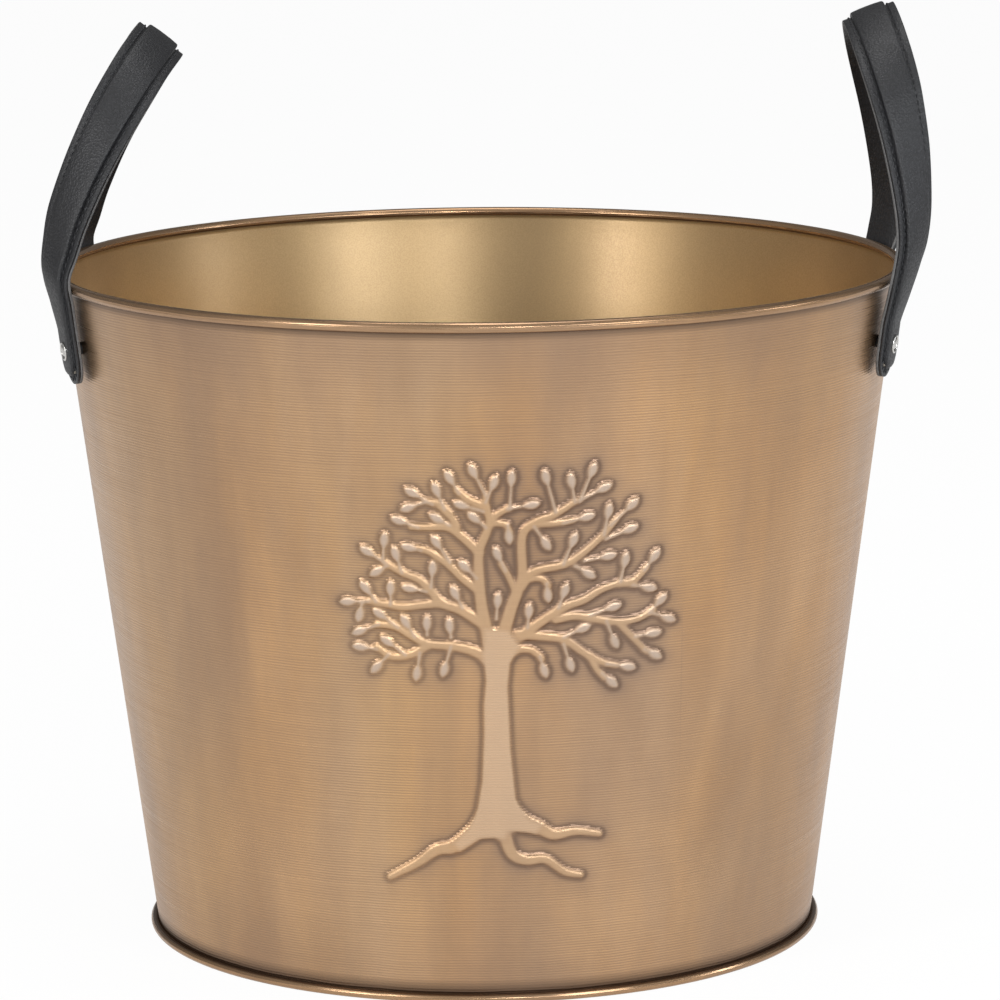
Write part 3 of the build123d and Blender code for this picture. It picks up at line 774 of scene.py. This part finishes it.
def makeRivet(side, leg, v):
    seat = strap["standOff"] - strapUnderside + bandTop
    button, grooveEnd, bottom = v["button"], v["button"] + v["groove"], seat + v["grooveLift"]
    outline = [(0, v["end"]), (v["shank"], v["end"]), (v["shank"], seat), (v["radius"] - 0.1, seat)]
    outline += beadArc((v["radius"] - v["ring"] / 2, seat + v["height"] * v["ringLift"], v["ring"] / 2),
                       *v["ringArc"])
    outline += [(grooveEnd, bottom), (button, bottom)]
    outline += [(button * math.cos(a), seat + 0.25 + (v["height"] - 0.2) * math.sin(a))
                for a in np.radians(np.linspace(0, 90, v["buttonSteps"]))]
    outline[-1] = (0, outline[-1][1])
    piece = spunPiece(f"{side}{leg.capitalize()}Rivet", outline, v["around"])
    for polygon in piece.data.polygons:
        r, z = polygon.center.xy.length / mm, polygon.center.z / mm
        inGroove = button - 0.05 < r < grooveEnd + 0.25 and seat < z < seat + v["grooveHigh"]
        # the groove's faces take a dark finish, painted shade in the recess
        polygon.material_index = int(inGroove)
    point, across, up, normal = rivetAxes(side, leg)
    axes = np.column_stack([across, up, normal, point * mm])
    piece.data.transform(Matrix([*axes.tolist(), [0, 0, 0, 1]]))
    return piece


rivets = {}
for side in sides:
    for leg in legs:
        head = makeRivet(side, leg, rivet)
        smooth(head, 50)
        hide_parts(f"{side}_{leg}_rivet")
        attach(head, "bucket")
        rivets[side, leg] = head
print("rivets made")


# Material helpers

def setInputs(tree, node, inputs):
    # each input takes a plain value, or the output that feeds it
    for key, value in inputs.items():
        if isinstance(value, bpy.types.NodeSocket):
            tree.links.new(value, node.inputs[key])
        else:
            node.inputs[key].default_value = value


def addNode(tree, kind, inputs=None, **settings):
    node = tree.nodes.new(kind)
    for key, value in settings.items():
        setattr(node, key, value)
    setInputs(tree, node, inputs or {})
    return node


def blankMaterial(name):
    material = bpy.data.materials.new(name)
    material.use_nodes = True
    tree = material.node_tree
    tree.nodes.clear()
    shader = addNode(tree, "ShaderNodeBsdfPrincipled")
    output = addNode(tree, "ShaderNodeOutputMaterial", {"Surface": shader.outputs["BSDF"]})
    return material, tree, shader, output


def newMaterial(name, recipe, *settings):
    # a recipe gives the shader's inputs, from the tree, the place on the object and the settings
    material, tree, shader, output = blankMaterial(name)
    place = addNode(tree, "ShaderNodeTexCoord").outputs["Object"]
    setInputs(tree, shader, recipe(tree, place, *settings))
    return material


def mapped(tree, place, **settings):
    return addNode(tree, "ShaderNodeMapping", {"Vector": place, **settings}).outputs[0]


def noise(tree, place, **settings):
    return addNode(tree, "ShaderNodeTexNoise", {"Vector": place, **settings}).outputs["Fac"]


def bump(tree, height, strength, distance):
    node = addNode(tree, "ShaderNodeBump", {"Height": height, "Strength": strength, "Distance": distance})
    return node.outputs["Normal"]


def mixColours(tree, share, a, b):
    return addNode(tree, "ShaderNodeMix", {0: share, 6: a, 7: b}, data_type="RGBA").outputs[2]


def layered(tree, body, *layers):
    # each layer is a share and the colour that it lays over what is there
    for share, tone in layers:
        body = mixColours(tree, share, body, tone)
    return body


def ramp(tree, source, low, high, toLow=0.0, toHigh=1.0):
    node = addNode(tree, "ShaderNodeMapRange", {"Value": source, "From Min": low, "From Max": high,
                                                "To Min": toLow, "To Max": toHigh})
    return node.outputs["Result"]


def maths(tree, operation, *values):
    return addNode(tree, "ShaderNodeMath", dict(enumerate(values)), operation=operation).outputs[0]


def times(tree, product, *factors):
    for factor in factors:
        product = maths(tree, "MULTIPLY", product, factor)
    return product


def rest(tree, share):
    return maths(tree, "SUBTRACT", 1.0, share)


def colour(red, green, blue):
    # a colour as a screen shows it, 0 to 255, turned to Blender's linear values
    def linear(c):
        c /= 255
        return c / 12.92 if c <= 0.04045 else ((c + 0.055) / 1.055) ** 2.4
    return (linear(red), linear(green), linear(blue), 1)


def darker(tone, share):
    return tuple(v * share for v in tone[:3]) + (1,)


# Shared effects

def newGroup(name, measure, *outputs):
    # a place and one measure go in, and plain values come out
    group = bpy.data.node_groups.new(name, "ShaderNodeTree")
    group.interface.new_socket("Place", in_out="INPUT", socket_type="NodeSocketVector")
    group.interface.new_socket(measure, in_out="INPUT", socket_type="NodeSocketFloat")
    for output in outputs:
        group.interface.new_socket(output, in_out="OUTPUT", socket_type="NodeSocketFloat")
    start = addNode(group, "NodeGroupInput").outputs
    return group, start["Place"], start[measure], addNode(group, "NodeGroupOutput")


def brushingGroup():
    # fine even lines that run round the bucket, with a slight waver and some that fade
    group, place, pitch, end = newGroup("brushing", "Pitch", "Ridges", "Scratches")
    height = addNode(group, "ShaderNodeSeparateXYZ", {0: place}).outputs["Z"]
    turns = maths(group, "DIVIDE", height, pitch)
    waver = times(group, noise(group, place, Scale=36, Detail=2), 7.0)
    ridge = maths(group, "SINE", maths(group, "ADD", times(group, turns, 2 * math.pi), waver))
    fade = noise(group, mapped(group, place, Scale=(12, 12, 420)), Scale=1, Detail=2)
    shown = times(group, ridge, ramp(group, fade, 0.28, 0.56, 0.35, 1.0))
    thin = mapped(group, place, Scale=(9, 9, 2600))
    setInputs(group, end, {"Ridges": maths(group, "MULTIPLY_ADD", shown, 0.5, 0.5),
                           "Scratches": noise(group, thin, Scale=1, Detail=3, Roughness=0.6)})
    return group


def cloudGroup():
    # soft uneven patches, for patina and dust
    group, place, size, end = newGroup("clouds", "Size", "Mask")
    tall = mapped(group, place, Scale=(1.25, 1.25, 0.42))
    broad = noise(group, tall, Scale=size, Detail=4, Roughness=0.55, Distortion=0.4)
    setInputs(group, end, {"Mask": ramp(group, broad, 0.38, 0.68)})
    return group


def pebbleGroup():
    # leather grain: small rounded cells with creases between them
    group, place, size, end = newGroup("pebble", "Size", "Height", "Crease")
    warp = addNode(group, "ShaderNodeTexNoise", {"Vector": place, "Scale": 260, "Detail": 2}).outputs["Color"]
    shift = addNode(group, "ShaderNodeVectorMath", {0: warp, 1: (0.0016,) * 3}, operation="MULTIPLY")
    moved = addNode(group, "ShaderNodeVectorMath", {0: place, 1: shift.outputs[0]}, operation="ADD")
    cells = addNode(group, "ShaderNodeTexVoronoi", feature="SMOOTH_F1", inputs={
        "Vector": moved.outputs[0], "Scale": size, "Randomness": 0.9, "Smoothness": 0.15}).outputs["Distance"]
    setInputs(group, end, {"Height": ramp(group, cells, 0.05, 0.7, 1.0, 0.0),
                           "Crease": ramp(group, cells, 0.42, 0.7)})
    return group


groups = {"brushing": brushingGroup(), "clouds": cloudGroup(), "pebble": pebbleGroup()}


def grouped(tree, name, **inputs):
    return addNode(tree, "ShaderNodeGroup", inputs, node_tree=groups[name]).outputs


def patches(tree, place, size):
    return grouped(tree, "clouds", Place=place, Size=size)["Mask"]


# Finishes

copper = {
    "base": colour(200, 161, 116),
    "warm": colour(204, 156, 104),
    "pale": colour(216, 186, 156),
    # this tone serves for real patina, and also for the painted shade near the foot
    "patina": colour(140, 116, 98),
    # a dark tone for painted shade in the creases beside the beads, partly patina
    "deep": colour(62, 48, 38),
    "smoke": colour(122, 106, 98),
    "outline": colour(98, 78, 68),
    "rim": colour(150, 120, 92),
    "top": colour(200, 170, 138),
    # the leaf tone is a painted reflection, a pale whitish colour laid on the bud tops
    "leaf": colour(192, 178, 168),
    "roughness": 0.31,
    "brushed": 0.55,
    "linePitch": 0.00118,
    "bloomShift": (0.12, 0.05, 0.31),
    # masks by height, in metres: from, to, and the share at each
    "rimBead": (0.2949, 0.2955),
    "footBead": (0.0031, 0.0036, 1.0, 0.0),
    # the creases under the rim bead and over the foot bead get painted shade, partly patina
    "underRim": (0.2915, 0.2948, 0.0, 0.85),
    "underRimEnd": (0.2952, 0.2960, 1.0, 0.0),
    "overFoot": (0.0028, 0.0036, 0.0, 0.9),
    "overFootEnd": (0.0046, 0.0100, 1.0, 0.0),
    # painted shade: the wall darkens towards the foot bead
    "nearFoot": (0.004, 0.040, 0.4, 0.0),
    "nearRim": (0.262, 0.293, 0.0, 0.5),
}


def antiqueCopper(tree, place, c):
    z = addNode(tree, "ShaderNodeSeparateXYZ", {0: place}).outputs["Z"]
    lines = grouped(tree, "brushing", Place=place, Pitch=c["linePitch"])
    ridges, scratches = lines["Ridges"], lines["Scratches"]
    clouds, drift, mottle = (patches(tree, place, size) for size in (11.0, 6.0, 48.0))
    bloom = patches(tree, mapped(tree, place, Location=c["bloomShift"]), 8.0)
    relief, smoothTop, stain, crowd, leafTopReflection = (
        addNode(tree, "ShaderNodeAttribute", attribute_name=name).outputs["Fac"]
        for name in ("relief", "smoothTop", "stain", "crowd", "leafTopReflection"))

    def byHeight(*names):
        return times(tree, *(ramp(tree, z, *c[name]) for name in names))

    offTop = rest(tree, smoothTop)
    onBead = maths(tree, "MAXIMUM", byHeight("rimBead"), byHeight("footBead"))
    offBead = rest(tree, onBead)
    creases = maths(tree, "MAXIMUM", byHeight("underRim", "underRimEnd"), byHeight("overFoot", "overFootEnd"))
    body = layered(
        tree, c["base"],
        (drift, c["warm"]),
        (times(tree, bloom, 0.5), c["pale"]),
        (times(tree, clouds, 0.55), c["patina"]),
        (times(tree, mottle, 0.16), c["patina"]),
        (times(tree, ramp(tree, ridges, 0.0, 1.0, 0.0, 0.55), offTop), c["patina"]),
        (ramp(tree, scratches, 0.35, 0.7, 0.0, 0.14), c["patina"]),
        (times(tree, crowd, rest(tree, relief), ramp(tree, clouds, 0.0, 0.7, 0.12, 0.42)), c["smoke"]),
        (times(tree, stain, ramp(tree, drift, 0.0, 1.0, 0.35, 0.75)), c["outline"]),
        (ramp(tree, smoothTop, 0.55, 1.0, 0.0, 0.5), c["top"]),
        (times(tree, ramp(tree, relief, 0.55, 0.95), offTop, 0.55), c["pale"]),
        # painted reflection: the bud tops are paled as if they mirrored the lamps
        (times(tree, leafTopReflection, 0.6), c["leaf"]),
        (times(tree, onBead, 0.55), c["rim"]),
        # painted shade in the creases beside the rim and foot beads, partly patina
        (creases, c["deep"]),
        # painted shade: darker towards the foot, standing in for the floor's shadow mirrored in the copper
        (times(tree, byHeight("nearFoot"), ramp(tree, clouds, 0.0, 1.0, 0.6, 1.0), offBead), c["patina"]),
        # a darker band below the rim, in the same tone as the patina
        (times(tree, byHeight("nearRim"), ramp(tree, drift, 0.0, 1.0, 0.5, 1.0), offBead), c["patina"]))
    rough = ramp(tree, scratches, 0.3, 0.7, c["roughness"] - 0.05, c["roughness"] + 0.09)
    rough = maths(tree, "ADD", rough, times(tree, smoothTop, 0.16))
    rough = maths(tree, "SUBTRACT", rough, times(tree, onBead, 0.08))
    height = maths(tree, "ADD", times(tree, ridges, times(tree, offTop, 0.9)), times(tree, scratches, 0.25))
    return {
        "Base Color": body,
        "Metallic": 0.92,
        "Roughness": rough,
        "Anisotropic": ramp(tree, onBead, 0.0, 1.0, c["brushed"], 0.1),
        "Tangent": addNode(tree, "ShaderNodeTangent", direction_type="RADIAL", axis="Z").outputs[0],
        "Normal": bump(tree, height, 0.2, 0.0004),
    }


gold = {"base": colour(176, 147, 104), "dark": colour(138, 112, 77), "roughness": 0.34}


def goldLacquer(tree, place, c):
    grain = noise(tree, place, Scale=1500, Detail=2, Roughness=0.7)
    return {
        "Base Color": layered(tree, c["base"], (times(tree, patches(tree, place, 11.0), 0.4), c["dark"]),
                              (ramp(tree, grain, 0.4, 0.6, 0.0, 0.3), c["dark"])),
        "Metallic": 0.85,
        "Coat Weight": 0.65,
        "Coat Roughness": 0.27,
        "Roughness": ramp(tree, grain, 0.3, 0.7, c["roughness"] - 0.05, c["roughness"] + 0.08),
        "Normal": bump(tree, grain, 0.14, 0.0002),
    }


leather = {"face": colour(25, 25, 28), "crease": colour(17, 17, 19), "roughness": 0.43, "bump": 0.27}


def grainedLeather(tree, place, c, grainSize):
    pebble = grouped(tree, "pebble", Place=place, Size=grainSize)
    fine = noise(tree, place, Scale=2600, Detail=1)
    height = maths(tree, "ADD", pebble["Height"], times(tree, fine, 0.3))
    return {
        "Base Color": layered(tree, c["face"], (pebble["Crease"], c["crease"]),
                              (times(tree, patches(tree, place, 30.0), 0.25), c["crease"])),
        "Roughness": ramp(tree, pebble["Height"], 0.0, 1.0, c["roughness"] + 0.14, c["roughness"] - 0.04),
        "Normal": bump(tree, height, c["bump"], 0.0006),
    }


def plainMetal(tree, place, base, low, high, strength):
    scuffs = noise(tree, place, Scale=700, Detail=4)
    return {
        "Base Color": mixColours(tree, scuffs, base, darker(base, 0.8)),
        "Metallic": 1.0,
        "Roughness": ramp(tree, scuffs, 0.3, 0.7, low, high),
        "Normal": bump(tree, scuffs, strength, 0.0001),
    }


def mottled(tree, place, low, high, roughness, settings, strength=0.0, texture="ShaderNodeTexNoise"):
    # a dull finish whose colour wanders between two tones
    spots = addNode(tree, texture, {"Vector": place, **settings}).outputs["Fac"]
    inputs = {"Base Color": mixColours(tree, spots, low, high), "Roughness": roughness}
    if strength:
        inputs["Normal"] = bump(tree, spots, strength, 0.0002)
    return inputs


rubber, wadding = colour(26, 26, 27), colour(120, 112, 100)
recipes = {
    "antiqueCopper": (antiqueCopper, copper),
    "goldLacquer": (goldLacquer, gold),
    "blackLeather": (grainedLeather, leather, 900.0),
    "leatherLining": (grainedLeather, leather, 820.0),
    "cutEdge": (mottled, colour(58, 58, 60), colour(112, 110, 108), 0.8, {"Scale": 1200, "Detail": 3}),
    "blackThread": (mottled, colour(16, 16, 18), colour(38, 38, 42), 0.6, {"Scale": 900, "Distortion": 2}, 0,
                    "ShaderNodeTexWave"),
    "nickel": (plainMetal, colour(204, 202, 198), 0.14, 0.26, 0.1),
    "grooveShade": (plainMetal, colour(58, 56, 54), 0.4, 0.6, 0.3),
    "plainSteel": (plainMetal, colour(178, 178, 176), 0.3, 0.45, 0.2),
    "blackRubber": (mottled, rubber, darker(rubber, 0.6), 0.65, {"Scale": 900, "Detail": 3}, 0.2),
    "padding": (mottled, wadding, darker(wadding, 0.6), 0.65, {"Scale": 500, "Detail": 3}, 0.2),
}
finishes = {name: newMaterial(name, *recipe) for name, recipe in recipes.items()}


def finish(piece, *names):
    # the faces keep the slots that they were given when the piece was made
    slots = [p.material_index for p in piece.data.polygons]
    piece.data.materials.clear()
    for name in names:
        piece.data.materials.append(finishes[name])
    if len(names) > 1:
        piece.data.polygons.foreach_set("material_index", slots)


finish(bucketWall, "antiqueCopper", "goldLacquer")
finish(basePan, "goldLacquer")
for side in sides:
    layers = straps[side]
    finish(layers["cover"], "blackLeather")
    finish(layers["lining"], "leatherLining", "cutEdge")
    liningFaces = layers["lining"].data.polygons
    liningFaces.foreach_set("material_index", [int(i % 8 in stripEdges) for i in range(len(liningFaces))])
    finish(layers["core"], "padding")
    finish(layers["stitches"], "blackThread")
    for leg in legs:
        finish(rivets[side, leg], "nickel", "grooveShade")
        for node, name in (("rivet_cap", "nickel"), ("spacer", "blackRubber"), ("washer", "plainSteel")):
            finish(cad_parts[f"{side}_{leg}_{node}"], name)
for node in ("rim_wire", "foot_wire"):
    finish(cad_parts[node], "plainSteel")
print("finishes made")


# Floor, backdrop and light

backdrop = {
    "floorSize": 16,
    "floorSeen": 0.95,  # how white the floor looks to the camera
    "floorMirrored": 0.55,
    "level": 0.44,
    "inFront": (-0.5, 1.25),  # way round from the front, and the share of the level there
    "behind": (0.7, 0.45),
}


def seenBy(tree):
    # rays that meet the backdrop straight from the camera, and rays that meet it mirrored
    rays = addNode(tree, "ShaderNodeLightPath").outputs
    return maths(tree, "MAXIMUM", rays["Is Camera Ray"], rays["Is Transmission Ray"]), rays["Is Glossy Ray"]


def makeFloor(b):
    bpy.ops.mesh.primitive_grid_add(x_subdivisions=8, y_subdivisions=8, size=b["floorSize"])
    floor = bpy.context.active_object
    floor.name = "floor"
    material, tree, shader, output = blankMaterial("paleFloor")
    setInputs(tree, shader, {"Base Color": colour(255, 255, 255), "Roughness": 0.9})
    glow = addNode(tree, "ShaderNodeEmission", {"Color": (1, 1, 1, 1), "Strength": 1.0})
    seen, mirrored = seenBy(tree)
    share = maths(tree, "MAXIMUM", times(tree, seen, b["floorSeen"]),
                  times(tree, mirrored, b["floorMirrored"]))
    mix = addNode(tree, "ShaderNodeMixShader", {0: share, 1: shader.outputs["BSDF"], 2: glow.outputs[0]})
    setInputs(tree, output, {"Surface": mix.outputs[0]})
    floor.data.materials.append(material)
    floor.select_set(False)


def makeWorld(b):
    world = bpy.data.worlds.new("studio")
    bpy.context.scene.world = world
    world.use_nodes = True
    tree = world.node_tree
    tree.nodes.clear()
    heading = addNode(tree, "ShaderNodeTexCoord").outputs["Generated"]
    depth = addNode(tree, "ShaderNodeSeparateXYZ", {0: heading}).outputs["Y"]
    (front, frontShare), (back, backShare) = b["inFront"], b["behind"]
    strength = ramp(tree, depth, front, back, b["level"] * frontShare, b["level"] * backShare)
    plain = addNode(tree, "ShaderNodeBackground", {"Color": (1, 1, 1, 1), "Strength": strength})
    white = addNode(tree, "ShaderNodeBackground", {"Color": (1, 1, 1, 1), "Strength": 1.0})
    mix = addNode(tree, "ShaderNodeMixShader", {0: seenBy(tree)[0], 1: plain.outputs[0], 2: white.outputs[0]})
    addNode(tree, "ShaderNodeOutputWorld", {"Surface": mix.outputs[0]})


lights = [  # name, place, aim, size, power and tint
    ("leftSoftbox", (-1.7, -1.8, 1.2), (0, 0, 0.2), (0.55, 1.3), 28, (1, 1, 1)),
    ("rightSoftbox", (1.5, -2.0, 1.2), (0, 0, 0.2), (0.9, 1.3), 24, (0.93, 0.97, 1)),
    ("frontSoftbox", (0.5, -2.65, 1.25), (0, 0, 0.2), (0.3, 0.8), 18, (0.95, 0.98, 1)),
    ("sideSoftbox", (2.3, -0.15, 0.95), (0, 0, 0.3), (0.4, 0.7), 9, (0.9, 0.94, 1)),
    ("topSoftbox", (0.1, 0.2, 2.3), (0, 0, 0.2), (1.2, 1.2), 15, (1, 1, 1)),
]


def areaLight(name, place, aim, size, power, tint):
    data = bpy.data.lights.new(name, "AREA")
    data.shape = "RECTANGLE"
    data.size, data.size_y = size
    data.energy = power
    data.color = tint
    lamp = bpy.data.objects.new(name, data)
    bpy.context.scene.collection.objects.link(lamp)
    lamp.location = place
    lamp.rotation_euler = (Vector(aim) - Vector(place)).to_track_quat("-Z", "Y").to_euler()


makeFloor(backdrop)
makeWorld(backdrop)
for light in lights:
    areaLight(*light)
bpy.context.scene.view_settings.view_transform = "Standard"
print("stage made")

bpy.ops.object.select_all(action="DESELECT")
